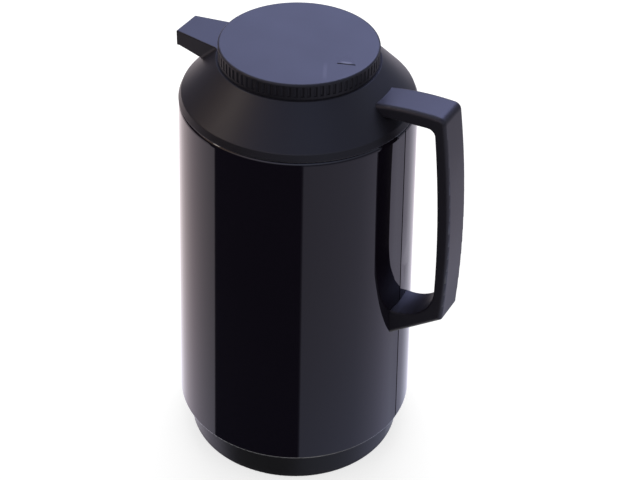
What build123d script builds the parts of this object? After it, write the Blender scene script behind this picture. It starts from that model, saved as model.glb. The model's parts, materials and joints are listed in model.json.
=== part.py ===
from build123d import *
import os
from math import atan2, degrees, hypot, radians, sqrt, tan

# Insulated serving carafe: a glass vacuum flask in a tapered sheet-metal jacket, with a moulded collar and
# spout, a strap handle, a foot ring and a screw-in stopper. Millimetres; +Z up from the standing plane on the
# body's axis, the handle along +X and the spout along -X.

# ---- Driving dimensions -----------------------------------------------------------------------------------

# Clearances
tight = 0.05  # between pieces pressed or clamped together
slip = 0.1  # between pieces that slide or snap together by hand
loose = 0.2  # between the closed stopper and the collar it seats on

# Jacket
jacket_top_r = 66.5
jacket_bottom_r = 72.1
jacket_bottom_z = 22.0
jacket_length = 214.1
sheet = 0.8
roll_r = 3.0  # outside of the bend that turns the top edge inwards
roll_width = 3.4
hem_r = 1.6
hem_width = 4.9
seam_width = 1.0
seam_depth = 0.35

# Collar: rim, brow and shoulder, and the neck that takes the stopper
collar_wall = 2.5
rim_overhang = 0.4
brow_height = 4.2
brow_inset = 1.3
brow_edge_r = 1.5
rim_edge_r = 0.5
shoulder_rise = 20.1
shoulder_top_r = 45.6
collar_edge_r = 0.5  # upper edges of the shoulder and the spout
skirt_depth = 13.0
bore_r = 31.0
neck_wall = 3.0
neck_rise = 6.1
flask_seat_depth = 35.3  # from the collar's top down to the face that the stopper's seal meets
seat_hole_r = 24.5
gasket_skirt_depth = 14.1
rib_count = 6
rib_thickness = 1.6
rib_depth = 12.0

# Spout
spout_reach = 6.7  # beyond the jacket's top radius
spout_width = 19.6
spout_height = 9.1
spout_flare = 9.85  # degrees that each side opens towards the neck
spout_fall = 7.0  # degrees that the floor drops towards the neck
spout_wall = 2.0
spout_root_r = 2.0
drip_height = 0.5
drip_width = 1.4

# Quick thread between neck and stopper
thread_starts = 4
thread_lead = 20.0
thread_width = 1.8
thread_height = 1.7
thread_play = 0.4  # axial gap between a lug and the rib above it
neck_thread_arc = 70.0
lug_arc = 30.0
thread_drop = 22.5  # from the collar's top to the middle of the neck ribs

# Lid and stopper
lid_r = 44.4
lid_height = 9.3
lid_gap = 0.3
lid_plate = 2.7
lid_skirt = 3.2
lid_edge = 1.2
flute_count = 80
flute_r = 1.1
flute_depth = 0.65
flute_margin_top = 1.5
flute_margin_bottom = 1.7
pointer_length = 8.7
pointer_width = 9.4
pointer_height = 0.3
pointer_edge_r = 0.2
pointer_inset = 6.3
pointer_azimuth = -9.1
stopper_gap = 2.6  # between the stopper's wall and the bore
stopper_wall = 2.2
boss_wall = 2.7
boss_depth = 6.0
o_ring_section = 1.2
o_ring_drop = -0.1  # from the collar's top down to the ring's middle
o_ring_flange = 1.3
flange_clearance = 0.6
seal_thickness = 2.6
seal_overlap = 3.7
plug_depth = 5.0
plug_flange = 2.9

# Handle
handle_width = 22.6
grip_top_reach = 26.85  # outer face beyond the jacket's top radius, at the top corner
grip_low_reach = 34.35
grip_bow = 3.75
gap_top_reach = 21.4  # inner face of the grip, the same way
gap_low_reach = 28.25
gap_bow = 2.75
arm_drop = 4.75  # from the collar's top to the arm's outer corner
arm_root_drop = 9.4
arm_bow = 1.9
under_arm_drop = 12.3
heel_z = 121.8
low_arm_top_z = 116.3
low_arm_slope = 36.5
outer_corner_r = 4.5
heel_r = 1.2
gap_top_r = 4.5
gap_low_r = 24.0
outer_edge_r = 2.6
inner_edge_r = 1.0
tongue_length = 16.0
tongue_width = 12.0
tongue_thickness = 4.0
tongue_drop = 11.5
pocket_wall = 2.0
shelf_thickness = 3.4

# Screws
shank_r = 1.9
head_r = 3.6
head_height = 2.2
upper_screw_bite = 3.6
lower_screw_bite = 10.0
lower_screw_z = 110.0
plate_thickness = 1.5
plate_arc = 22.0
plate_height = 24.0

# Foot ring and the cap that closes it
foot_r = 65.4
foot_top_r = 66.9
foot_wall = 3.2
foot_edge = 1.0
foot_flange = 3.0
web_bottom_z = 6.0
web_thickness = 3.0
cap_bore_r = 45.0
cap_flange_r = 50.0
cap_flange_bottom_z = 1.8
cap_flange_thickness = 2.7
cap_wall = 3.0
cap_floor_z = 9.0
cap_top_z = 12.0
lug_reach = 2.4
lug_width = 18.0
base_lug_count = 3
notch_margin = 1.5
grip_bar_width = 10.0

# Glass flask
glass = 1.6
flask_r = 54.0
vacuum_gap = 5.0
flask_bottom_z = 24.0
flask_dome_r = 70.0
flask_heel_r = 24.0
neck_blend = 4.0
outer_neck_length = 8.5
inner_neck_length = 14.0
mouth_r = 22.5
neck_vacuum_gap = 3.8
lip_gap = 4.1  # gasket thickness over the lip
tip_r = 4.0
tip_end_r = 2.2
tip_length = 8.0
guard_wall = 2.3
guard_floor = 2.3
gasket_wrap = 113.5  # degrees of the lip that the gasket covers, from its outside
spacer_z = 70.0
spacer_size = 10.0
spacer_count = 3
cushion_outer_r = 40.0
cushion_inner_r = 14.0
cushion_height = 24.5

# ---- Levels and radii that follow -------------------------------------------------------------------------

jacket_top_z = jacket_bottom_z + jacket_length
brow_z = jacket_top_z + brow_height
seat_z = brow_z + shoulder_rise
rim_r = jacket_top_r + rim_overhang
brow_r = jacket_top_r - brow_inset
neck_r = bore_r + neck_wall
neck_top_z = seat_z + neck_rise
flask_seat_z = seat_z - flask_seat_depth
gasket_top_z = flask_seat_z - neck_wall
lip_r = glass + neck_vacuum_gap / 2
lip_centre_r = mouth_r + lip_r
lip_centre_z = gasket_top_z - lip_gap - lip_r
spout_tip_x = jacket_top_r + spout_reach
stopper_r = bore_r - stopper_gap
lid_bottom_z = seat_z + lid_gap
lid_top_z = lid_bottom_z + lid_height
lid_under_z = lid_top_z - lid_plate


def jacket_r(z):
    """Outside radius of the tapered jacket at a height."""
    return jacket_top_r + (jacket_top_z - z) * (jacket_bottom_r - jacket_top_r) / jacket_length


shoulder_run = brow_r - shoulder_top_r
shoulder_length = hypot(shoulder_run, shoulder_rise)


def shoulder_point(z, depth=0.0):
    """Radius and height of the shoulder's cone at a height, sunk into the wall by a depth across it."""
    radius = shoulder_top_r + (seat_z - z) * shoulder_run / shoulder_rise
    return (radius - depth * shoulder_length / shoulder_rise, z)


def shoulder_height(radius, depth=0.0):
    """Height at which the shoulder's cone, sunk by a depth, has a radius."""
    return seat_z - (radius - shoulder_point(seat_z, depth)[0]) * shoulder_rise / shoulder_run


def spout_half_width(x, inset=0.0):
    """Half the spout's width in plan at a distance from the axis."""
    return spout_width / 2 + (spout_tip_x - x) * tan(radians(spout_flare)) - inset


def spout_floor_z(x):
    """Underside of the spout at a distance from the axis."""
    return seat_z - spout_height + drip_height - (spout_tip_x - x) * tan(radians(spout_fall))


def section(*points, plane=Plane.XZ):
    """Closed straight-sided outline of (radius, height) points on a plane through the body's axis."""
    with BuildSketch(plane) as outline:
        with BuildLine():
            Polyline(*points, close=True)
        make_face()
    return outline.sketch


def thread_sector(root_r, crest_r, middle_z, arc):
    """A length of quick thread that runs from a buried root to its crest, centred on azimuth 0."""
    middle_r = (root_r + crest_r) / 2
    rise = thread_lead * arc / 360
    with BuildPart() as sector:
        with BuildLine() as path:
            Helix(pitch=thread_lead, height=rise, radius=middle_r, center=(0, 0, middle_z - rise / 2))
        with BuildSketch(Plane(origin=path.line @ 0, x_dir=(1, 0, 0), z_dir=path.line % 0)):
            Rectangle(abs(crest_r - root_r), thread_width)
        sweep(is_frenet=True)
    return Rot(0, 0, -arc / 2) * sector.part


os.makedirs("parts", exist_ok=True)

# ---- Jacket: rolled sheet, turned inwards at both ends, with its seam behind the handle --------------------

hem_top_z = jacket_bottom_z + sheet
hem_inside = (jacket_r(hem_top_z) - sheet, hem_top_z)
roll_inside = (jacket_r(jacket_top_z - sheet) - sheet, jacket_top_z - sheet)

with BuildPart() as jacket:
    with BuildSketch(Plane.XZ):
        with BuildLine():
            Polyline(
                (jacket_top_r, jacket_top_z),
                (jacket_bottom_r, jacket_bottom_z),
                (jacket_bottom_r - hem_width, jacket_bottom_z),
                (jacket_bottom_r - hem_width, hem_top_z),
                hem_inside,
                roll_inside,
                (jacket_top_r - roll_width, jacket_top_z - sheet),
                (jacket_top_r - roll_width, jacket_top_z),
                close=True,
            )
        strip = make_face()
        strip = fillet(strip.vertices().sort_by_distance(Vector(jacket_bottom_r, jacket_bottom_z))[0], hem_r)
        strip = fillet(strip.vertices().sort_by_distance(Vector(*hem_inside))[0], hem_r - sheet)
        strip = fillet(strip.vertices().sort_by_distance(Vector(jacket_top_r, jacket_top_z))[0], roll_r)
        fillet(strip.vertices().sort_by_distance(Vector(*roll_inside))[0], roll_r - sheet)
    revolve(axis=Axis.Z)
    seam = section(
        (jacket_top_r - seam_depth, jacket_top_z),
        (jacket_top_r + seam_depth, jacket_top_z),
        (jacket_bottom_r + seam_depth, jacket_bottom_z + hem_r),
        (jacket_bottom_r - seam_depth, jacket_bottom_z + hem_r),
    )
    extrude(seam, amount=seam_width / 2, both=True, mode=Mode.SUBTRACT)
    with BuildSketch(Plane.YZ):
        with Locations((0, lower_screw_z)):
            Circle(shank_r + slip)
    extrude(amount=jacket_r(lower_screw_z) + shank_r, mode=Mode.SUBTRACT)

jacket.part.label = "jacket"
export_step(jacket.part, "parts/jacket.step")

# ---- Collar: shoulder, neck, spout and the pocket for the handle's tongue ----------------------------------

skirt_bottom_z = jacket_top_z - skirt_depth
skirt_r = min(jacket_top_r - roll_width, jacket_r(skirt_bottom_z) - sheet) - tight
skirt_inner_r = skirt_r - collar_wall
gasket_bottom_z = gasket_top_z - gasket_skirt_depth
pocket_floor_z = seat_z - tongue_drop - tongue_thickness - slip
pocket_top_z = seat_z - tongue_drop + slip
shelf_bottom_z = pocket_floor_z - shelf_thickness
pocket_half_width = tongue_width / 2 + slip
tongue_end_x = shoulder_point(pocket_floor_z)[0] - tongue_length
upper_screw_x = tongue_end_x + tongue_length / 3
mid_wall = collar_wall / 2
neck_rib = thread_sector(bore_r + mid_wall, bore_r - thread_height, seat_z - thread_drop, neck_thread_arc)


def spout_roots(part):
    """Edges where the sides of the spout spring from the shoulder."""
    chosen = []
    for edge in part.edges():
        middle = edge @ 0.5
        off_cone = hypot(middle.X, middle.Y) - shoulder_point(middle.Z)[0]
        beside_spout = middle.X < 0 and abs(middle.Y) > spout_width / 4 and brow_z < middle.Z < seat_z
        if beside_spout and abs(off_cone) < tight:
            chosen.append(edge)
    return chosen


def upper_edges(part):
    """Outline of the shoulder's and the spout's top."""
    top = part.edges().filter_by_position(Axis.Z, seat_z - tight, seat_z + tight)
    return [edge for edge in top if hypot((edge @ 0.5).X, (edge @ 0.5).Y) > shoulder_top_r - tight]


with BuildPart() as collar:
    with BuildSketch(Plane.XZ):
        with BuildLine():
            Polyline(
                (bore_r, neck_top_z),
                (neck_r, neck_top_z),
                (neck_r, seat_z),
                (shoulder_top_r, seat_z),
                (brow_r, brow_z),
                (rim_r, jacket_top_z),
                (skirt_r, jacket_top_z),
                (skirt_r, skirt_bottom_z),
                (skirt_inner_r, skirt_bottom_z),
                (skirt_inner_r, shoulder_height(skirt_inner_r, collar_wall)),
                shoulder_point(seat_z - collar_wall, collar_wall),
                (neck_r, seat_z - collar_wall),
                (neck_r, gasket_bottom_z),
                (bore_r + loose, gasket_bottom_z),
                (bore_r + loose, gasket_top_z),
                (seat_hole_r, gasket_top_z),
                (seat_hole_r, flask_seat_z),
                (bore_r, flask_seat_z),
                close=True,
            )
        shell = make_face()
        shell = fillet(shell.vertices().sort_by_distance(Vector(brow_r, brow_z))[0], brow_edge_r)
        fillet(shell.vertices().sort_by_distance(Vector(rim_r, jacket_top_z))[0], rim_edge_r)
    revolve(axis=Axis.Z)
    # spout, as a flared box whose floor drops towards the neck
    for x in (spout_tip_x, bore_r + neck_wall / 2):
        floor_z = spout_floor_z(x)
        with BuildSketch(Plane.YZ.offset(-x)):
            with Locations((0, (seat_z + floor_z) / 2)):
                Rectangle(2 * spout_half_width(x), seat_z - floor_z)
    loft(ruled=True)
    fillet(spout_roots(collar), spout_root_r)
    fillet(upper_edges(collar), collar_edge_r)
    with Locations((-spout_tip_x, 0, seat_z - spout_height)):
        Box(drip_width, spout_width, spout_height / 2, align=(Align.MIN, Align.CENTER, Align.MIN))
    # block for the tongue's pocket, and ribs that tie the neck to the shoulder
    block = section(
        (tongue_end_x - pocket_wall, shelf_bottom_z),
        shoulder_point(shelf_bottom_z, mid_wall),
        shoulder_point(pocket_top_z + pocket_wall, mid_wall),
        (tongue_end_x - pocket_wall, pocket_top_z + pocket_wall),
    )
    extrude(block, amount=pocket_half_width + pocket_wall, both=True)
    for n in range(rib_count):
        rib = section(
            (neck_r - neck_wall / 2, seat_z - rib_depth),
            shoulder_point(seat_z - rib_depth, mid_wall),
            shoulder_point(seat_z - mid_wall, mid_wall),
            (neck_r - neck_wall / 2, seat_z - mid_wall),
            plane=Plane.XZ.rotated((0, 0, (n + 0.5) * 360 / rib_count)),
        )
        extrude(rib, amount=rib_thickness / 2, both=True)
    # pour channel from the bore to the tip
    for x in (spout_tip_x + drip_width, bore_r - mid_wall):
        floor_z = spout_floor_z(x) + spout_wall
        with BuildSketch(Plane.YZ.offset(-x)):
            with Locations((0, (seat_z - spout_wall + floor_z) / 2)):
                Rectangle(2 * spout_half_width(x, spout_wall), seat_z - spout_wall - floor_z)
    loft(mode=Mode.SUBTRACT)
    # pocket for the tongue, and the hole for its screw
    with Locations((tongue_end_x - slip, 0, pocket_floor_z)):
        Box(
            2 * tongue_length,
            2 * pocket_half_width,
            pocket_top_z - pocket_floor_z,
            align=(Align.MIN, Align.CENTER, Align.MIN),
            mode=Mode.SUBTRACT,
        )
    with BuildSketch(Plane.XY.offset(shelf_bottom_z)):
        with Locations((upper_screw_x, 0)):
            Circle(shank_r + slip)
    extrude(amount=shelf_thickness, mode=Mode.SUBTRACT)
    with PolarLocations(0, thread_starts, start_angle=180 / thread_starts):
        add(neck_rib)

collar.part.label = "collar"
export_step(collar.part, "parts/collar.step")

# ---- Handle: strap grip between two arms, with a tongue at the top ----------------------------------------

root_x = shoulder_top_r
arm_root = (root_x, seat_z - arm_root_drop)
arm_corner = (jacket_top_r + grip_top_reach, seat_z - arm_drop)
heel = (jacket_top_r + grip_low_reach, heel_z)
toe = (root_x, heel_z - (heel[0] - root_x) * tan(radians(low_arm_slope)))
gap_top = (jacket_top_r + gap_top_reach, seat_z - under_arm_drop)
gap_low = (jacket_top_r + gap_low_reach, low_arm_top_z)


def rim_edges(part, towards_fingers):
    """Long edges of the handle's two flat sides, either round the finger gap or round the outside."""
    chosen = []
    for side in (-handle_width / 2, handle_width / 2):
        for edge in part.edges().filter_by_position(Axis.Y, side - tight, side + tight):
            middle = edge @ 0.5
            at_gap = middle.X < gap_low[0] + slip and low_arm_top_z - slip < middle.Z < gap_top[1] + slip
            if middle.X > root_x + slip and at_gap == towards_fingers:
                chosen.append(edge)
    return chosen


with BuildPart() as handle:
    with BuildSketch(Plane.XZ):
        with BuildLine():
            SagittaArc(arm_root, arm_corner, arm_bow)
            SagittaArc(arm_corner, heel, grip_bow)
            Polyline(heel, toe, arm_root)
        outline = make_face()
        outline = fillet(outline.vertices().sort_by_distance(Vector(*arm_corner))[0], outer_corner_r)
        fillet(outline.vertices().sort_by_distance(Vector(*heel))[0], heel_r)
    extrude(amount=handle_width / 2, both=True)
    with BuildSketch(Plane.XZ):
        with BuildLine():
            SagittaArc(gap_top, gap_low, gap_bow)
            Polyline(gap_low, (root_x, low_arm_top_z), (root_x, gap_top[1] - arm_bow), gap_top)
        gap = make_face()
        gap = fillet(gap.vertices().sort_by_distance(Vector(*gap_low))[0], gap_low_r)
        fillet(gap.vertices().sort_by_distance(Vector(*gap_top))[0], gap_top_r)
    extrude(amount=handle_width, both=True, mode=Mode.SUBTRACT)
    fillet(rim_edges(handle, towards_fingers=True), inner_edge_r)
    fillet(rim_edges(handle, towards_fingers=False), outer_edge_r)
    # both ends follow the body
    body = section(
        (0, 0),
        (jacket_r(0) + tight, 0),
        (jacket_top_r + tight, jacket_top_z),
        (rim_r + tight, jacket_top_z),
        (brow_r + tight, brow_z),
        (shoulder_top_r + tight, seat_z),
        (0, seat_z),
    )
    revolve(body, axis=Axis.Z, mode=Mode.SUBTRACT)
    with Locations((tongue_end_x, 0, pocket_floor_z + slip)):
        Box(
            tongue_length + outer_edge_r,
            tongue_width,
            tongue_thickness,
            align=(Align.MIN, Align.CENTER, Align.MIN),
        )
    with BuildSketch(Plane.XY.offset(pocket_floor_z)):
        with Locations((upper_screw_x, 0)):
            Circle(shank_r + tight)
    extrude(amount=2 * tongue_thickness, mode=Mode.SUBTRACT)
    with BuildSketch(Plane.YZ):
        with Locations((0, lower_screw_z)):
            Circle(shank_r + tight)
    extrude(amount=jacket_r(lower_screw_z) + lower_screw_bite + slip, mode=Mode.SUBTRACT)

handle.part.label = "handle"
export_step(handle.part, "parts/handle.step")

# ---- Screws of the handle, and the plate that spreads the lower one's load ---------------------------------

with BuildPart() as handle_upper_screw:
    with Locations((upper_screw_x, 0, shelf_bottom_z)):
        Cylinder(head_r, head_height, align=(Align.CENTER, Align.CENTER, Align.MAX))
        Cylinder(
            shank_r,
            shelf_thickness + slip + upper_screw_bite,
            align=(Align.CENTER, Align.CENTER, Align.MIN),
        )

handle_upper_screw.part.label = "handle_upper_screw"
export_step(handle_upper_screw.part, "parts/handle_upper_screw.step")

plate_low_z = lower_screw_z - plate_height / 2
plate_top_z = lower_screw_z + plate_height / 2
head_top_z = lower_screw_z + head_r
head_low_z = lower_screw_z - head_r
plate_inner_r = min(jacket_r(head_low_z), jacket_r(head_top_z)) - sheet - plate_thickness
head_face_x = sqrt(plate_inner_r**2 - head_r**2) - slip

with BuildPart() as handle_plate:
    strip = section(
        (jacket_r(plate_low_z) - sheet, plate_low_z),
        (jacket_r(plate_top_z) - sheet, plate_top_z),
        (jacket_r(plate_top_z) - sheet - plate_thickness, plate_top_z),
        (jacket_r(plate_low_z) - sheet - plate_thickness, plate_low_z),
        plane=Plane.XZ.rotated((0, 0, -plate_arc / 2)),
    )
    revolve(strip, axis=Axis.Z, revolution_arc=plate_arc)
    with BuildSketch(Plane.YZ):
        with Locations((0, lower_screw_z)):
            Circle(shank_r + slip)
    extrude(amount=jacket_r(lower_screw_z) + shank_r, mode=Mode.SUBTRACT)

handle_plate.part.label = "handle_plate"
export_step(handle_plate.part, "parts/handle_plate.step")

with BuildPart() as handle_lower_screw:
    with BuildSketch(Plane.YZ.offset(head_face_x)):
        with Locations((0, lower_screw_z)):
            Circle(head_r)
    extrude(amount=-head_height)
    with BuildSketch(Plane.YZ.offset(head_face_x)):
        with Locations((0, lower_screw_z)):
            Circle(shank_r)
    extrude(amount=jacket_r(lower_screw_z) + lower_screw_bite - head_face_x)

handle_lower_screw.part.label = "handle_lower_screw"
export_step(handle_lower_screw.part, "parts/handle_lower_screw.step")

# ---- Foot ring: stands on its rim, with its flange resting on the jacket's hem ------------------------------

flange_r = jacket_bottom_r - hem_r - loose
web_top_z = web_bottom_z + web_thickness
foot_inner_r = foot_r - foot_wall

with BuildPart() as foot_ring:
    with BuildSketch(Plane.XZ):
        with BuildLine():
            Polyline(
                (foot_r, 0),
                (foot_top_r, hem_top_z),
                (flange_r, hem_top_z),
                (flange_r, hem_top_z + foot_flange),
                (foot_top_r - foot_wall, hem_top_z + foot_flange),
                (foot_inner_r, web_top_z),
                (cap_bore_r, web_top_z),
                (cap_bore_r, web_bottom_z),
                (foot_inner_r, web_bottom_z),
                (foot_inner_r, 0),
                close=True,
            )
        ring_face = make_face()
        fillet(ring_face.vertices().sort_by_distance(Vector(foot_r, 0))[0], foot_edge)
    revolve(axis=Axis.Z)
    # notches that let the cap's lugs in
    with BuildSketch(Plane.XY.offset(web_bottom_z)):
        with PolarLocations(cap_bore_r, base_lug_count):
            Rectangle(2 * (lug_reach + loose), lug_width + 2 * notch_margin)
    extrude(amount=web_thickness, mode=Mode.SUBTRACT)

foot_ring.part.label = "foot_ring"
export_step(foot_ring.part, "parts/foot_ring.step")

# ---- Base cap: turns into the foot ring, under a flat gasket, and carries the flask's cushion --------------

cap_r = cap_bore_r - loose
cap_flange_top_z = cap_flange_bottom_z + cap_flange_thickness

with BuildPart() as base_cap:
    pan = section(
        (0, cap_floor_z),
        (cap_r - cap_wall, cap_floor_z),
        (cap_r - cap_wall, cap_flange_bottom_z),
        (cap_flange_r, cap_flange_bottom_z),
        (cap_flange_r, cap_flange_top_z),
        (cap_r, cap_flange_top_z),
        (cap_r, cap_top_z),
        (0, cap_top_z),
    )
    revolve(pan, axis=Axis.Z)
    # grip bar across the hollow underside
    with Locations((0, 0, cap_floor_z)):
        Box(
            2 * cap_r - cap_wall,
            grip_bar_width,
            cap_floor_z - cap_flange_bottom_z,
            align=(Align.CENTER, Align.CENTER, Align.MAX),
        )
    # lugs, turned away from the notches onto the foot ring's web
    with BuildSketch(Plane.XY.offset(web_top_z + slip)):
        with PolarLocations(cap_r, base_lug_count, start_angle=180 / base_lug_count):
            Rectangle(2 * lug_reach, lug_width)
    extrude(amount=cap_top_z - web_top_z - slip)

base_cap.part.label = "base_cap"
export_step(base_cap.part, "parts/base_cap.step")

with BuildPart() as base_cap_gasket:
    with BuildSketch(Plane.XY.offset(cap_flange_top_z)):
        Circle(cap_flange_r - slip)
        Circle(cap_r + slip, mode=Mode.SUBTRACT)
    extrude(amount=web_bottom_z - cap_flange_top_z)

base_cap_gasket.part.label = "base_cap_gasket"
export_step(base_cap_gasket.part, "parts/base_cap_gasket.step")

# ---- Glass flask: two walls that meet at the lip, with the vacuum between them ------------------------------

wall_pitch = glass + vacuum_gap
inner_wall_r = flask_r - wall_pitch
inner_neck_r = mouth_r + glass
outer_neck_r = mouth_r + 2 * lip_r
dome_centre_z = flask_bottom_z + flask_dome_r
heel_r_centre = flask_r - flask_heel_r
heel_centre_z = dome_centre_z - sqrt((flask_dome_r - flask_heel_r) ** 2 - heel_r_centre**2)


def wall_path(inset, neck, neck_length):
    """Outer face of a flask wall, from the middle of its dome up to the lip's centre."""
    shoulder_r = flask_r - inset - neck - neck_blend
    shoulder_z = lip_centre_z - neck_length - neck_blend - shoulder_r
    turn = degrees(atan2(heel_r_centre, dome_centre_z - heel_centre_z))
    CenterArc((0, dome_centre_z), flask_dome_r - inset, -90, turn)
    CenterArc((heel_r_centre, heel_centre_z), flask_heel_r - inset, turn - 90, 90 - turn)
    Line((flask_r - inset, heel_centre_z), (flask_r - inset, shoulder_z))
    CenterArc((flask_r - inset - shoulder_r, shoulder_z), shoulder_r, 0, 90)
    CenterArc((neck + neck_blend, lip_centre_z - neck_length), neck_blend, -90, -90)
    Line((neck, lip_centre_z - neck_length), (neck, lip_centre_z))


with BuildPart() as flask_inner:
    with BuildSketch(Plane.XZ):
        with BuildLine():
            wall_path(wall_pitch, inner_neck_r, inner_neck_length)
            CenterArc((lip_centre_r, lip_centre_z), lip_r - glass, 180, -180)
            offset(amount=glass, side=Side.LEFT)
        make_face()
    revolve(axis=Axis.Z)

flask_inner.part.label = "flask_inner"
export_step(flask_inner.part, "parts/flask_inner.step")

tip_start_z = flask_bottom_z + glass

with BuildPart() as flask_outer:
    with BuildSketch(Plane.XZ):
        with BuildLine():
            wall_path(0, outer_neck_r, outer_neck_length)
            offset(amount=glass, side=Side.LEFT)
        make_face()
    revolve(axis=Axis.Z)
    # sealed tip that the air was drawn out through
    tip = section(
        (0, tip_start_z - glass / 2),
        (tip_r, tip_start_z - glass / 2),
        (tip_end_r, tip_start_z - tip_length),
        (0, tip_start_z - tip_length),
    )
    revolve(tip, axis=Axis.Z)

flask_outer.part.label = "flask_outer"
export_step(flask_outer.part, "parts/flask_outer.step")

# ---- What holds the flask: spacers in the vacuum, cushion and tip guard below, gasket over the lip ---------

with BuildPart() as flask_spacers:
    with BuildSketch(Plane.XY.offset(spacer_z - spacer_size / 2)):
        with PolarLocations((inner_wall_r + flask_r - glass) / 2, spacer_count):
            Rectangle(2 * vacuum_gap, spacer_size)
    extrude(amount=spacer_size)
    between = section(
        (inner_wall_r + tight, spacer_z - spacer_size),
        (flask_r - glass - tight, spacer_z - spacer_size),
        (flask_r - glass - tight, spacer_z + spacer_size),
        (inner_wall_r + tight, spacer_z + spacer_size),
    )
    revolve(between, axis=Axis.Z, mode=Mode.INTERSECT)

flask_spacers.part.label = "flask_spacers"
export_step(flask_spacers.part, "parts/flask_spacers.step")

with BuildPart() as flask_cushion:
    with BuildSketch(Plane.XY.offset(cap_top_z)):
        Circle(cushion_outer_r)
        Circle(cushion_inner_r, mode=Mode.SUBTRACT)
    extrude(amount=cushion_height)
    with Locations((0, 0, dome_centre_z)):
        Sphere(flask_dome_r + tight, mode=Mode.SUBTRACT)

flask_cushion.part.label = "flask_cushion"
export_step(flask_cushion.part, "parts/flask_cushion.step")

guard_r = tip_r + slip + guard_wall
guard_top_z = flask_bottom_z - tight
guard_bottom_z = tip_start_z - tip_length - slip - guard_floor

with BuildPart() as flask_tip_guard:
    cup = section(
        (0, guard_bottom_z),
        (guard_r, guard_bottom_z),
        (guard_r, guard_top_z),
        (tip_r + slip, guard_top_z),
        (tip_end_r + slip, guard_bottom_z + guard_floor),
        (0, guard_bottom_z + guard_floor),
    )
    revolve(cup, axis=Axis.Z)

flask_tip_guard.part.label = "flask_tip_guard"
export_step(flask_tip_guard.part, "parts/flask_tip_guard.step")

with BuildPart() as neck_gasket:
    with BuildSketch(Plane.XZ):
        with BuildLine():
            gasket_r = lip_r + tight
            Line((lip_centre_r + gasket_r, gasket_bottom_z), (lip_centre_r + gasket_r, lip_centre_z))
            over_lip = CenterArc((lip_centre_r, lip_centre_z), gasket_r, 0, gasket_wrap)
            Polyline(
                over_lip @ 1,
                ((over_lip @ 1).X, gasket_top_z),
                (bore_r + loose - tight, gasket_top_z),
                (bore_r + loose - tight, gasket_bottom_z),
                (lip_centre_r + gasket_r, gasket_bottom_z),
            )
        make_face()
    revolve(axis=Axis.Z)

neck_gasket.part.label = "neck_gasket"
export_step(neck_gasket.part, "parts/neck_gasket.step")

# ---- Stopper: threaded tube with the plug, its two seals and a foam core -----------------------------------

seal_top_z = flask_seat_z + slip + seal_thickness
body_bottom_z = seal_top_z + slip
tube_r = stopper_r - stopper_wall
ring_z = seat_z - o_ring_drop
ring_centre_r = bore_r - slip - o_ring_section
flange_gap = o_ring_section + slip
lug_crest_r = bore_r - 2 * loose
lug_z = seat_z - thread_drop - thread_width - thread_play
lug = thread_sector(stopper_r - stopper_wall / 2, lug_crest_r, lug_z, lug_arc)

with BuildPart() as stopper_body:
    tube = section(
        (tube_r, body_bottom_z),
        (stopper_r, body_bottom_z),
        (stopper_r, ring_z - flange_gap - o_ring_flange),
        (bore_r - flange_clearance, ring_z - flange_gap - o_ring_flange),
        (bore_r - flange_clearance, ring_z - flange_gap),
        (ring_centre_r - o_ring_section, ring_z - flange_gap),
        (ring_centre_r - o_ring_section, ring_z + flange_gap),
        (bore_r - flange_clearance, ring_z + flange_gap),
        (bore_r - flange_clearance, ring_z + flange_gap + o_ring_flange),
        (stopper_r, ring_z + flange_gap + o_ring_flange),
        (stopper_r, lid_under_z),
        (tube_r, lid_under_z),
    )
    revolve(tube, axis=Axis.Z)
    with PolarLocations(0, thread_starts, start_angle=180 / thread_starts):
        add(lug)

stopper_body.part.label = "stopper_body"
export_step(stopper_body.part, "parts/stopper_body.step")

with BuildPart() as stopper_o_ring:
    with Locations((0, 0, ring_z)):
        Torus(ring_centre_r, o_ring_section)

stopper_o_ring.part.label = "stopper_o_ring"
export_step(stopper_o_ring.part, "parts/stopper_o_ring.step")

seal_inner_r = seat_hole_r - seal_overlap / 2 - tight

with BuildPart() as stopper_seal:
    with BuildSketch(Plane.XY.offset(seal_top_z - seal_thickness)):
        Circle(stopper_r - loose)
        Circle(seal_inner_r, mode=Mode.SUBTRACT)
    extrude(amount=seal_thickness)

stopper_seal.part.label = "stopper_seal"
export_step(stopper_seal.part, "parts/stopper_seal.step")

with BuildPart() as stopper_plug:
    plug = section(
        (0, flask_seat_z - plug_flange),
        (seat_hole_r - 3 * loose, flask_seat_z - plug_flange),
        (seat_hole_r - 3 * loose, flask_seat_z),
        (seal_inner_r - slip, flask_seat_z),
        (seal_inner_r - slip, body_bottom_z),
        (tube_r - slip, body_bottom_z),
        (tube_r - slip, body_bottom_z + plug_depth),
        (0, body_bottom_z + plug_depth),
    )
    revolve(plug, axis=Axis.Z)

stopper_plug.part.label = "stopper_plug"
export_step(stopper_plug.part, "parts/stopper_plug.step")

with BuildPart() as stopper_foam:
    with Locations((0, 0, body_bottom_z + plug_depth + tight)):
        Cylinder(
            tube_r - loose,
            lid_under_z - boss_depth - body_bottom_z - plug_depth - 2 * tight,
            align=(Align.CENTER, Align.CENTER, Align.MIN),
        )

stopper_foam.part.label = "stopper_foam"
export_step(stopper_foam.part, "parts/stopper_foam.step")

# ---- Lid: fluted cap with a raised pointer, snapped onto the stopper's tube ---------------------------------

boss_r = tube_r - slip

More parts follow.
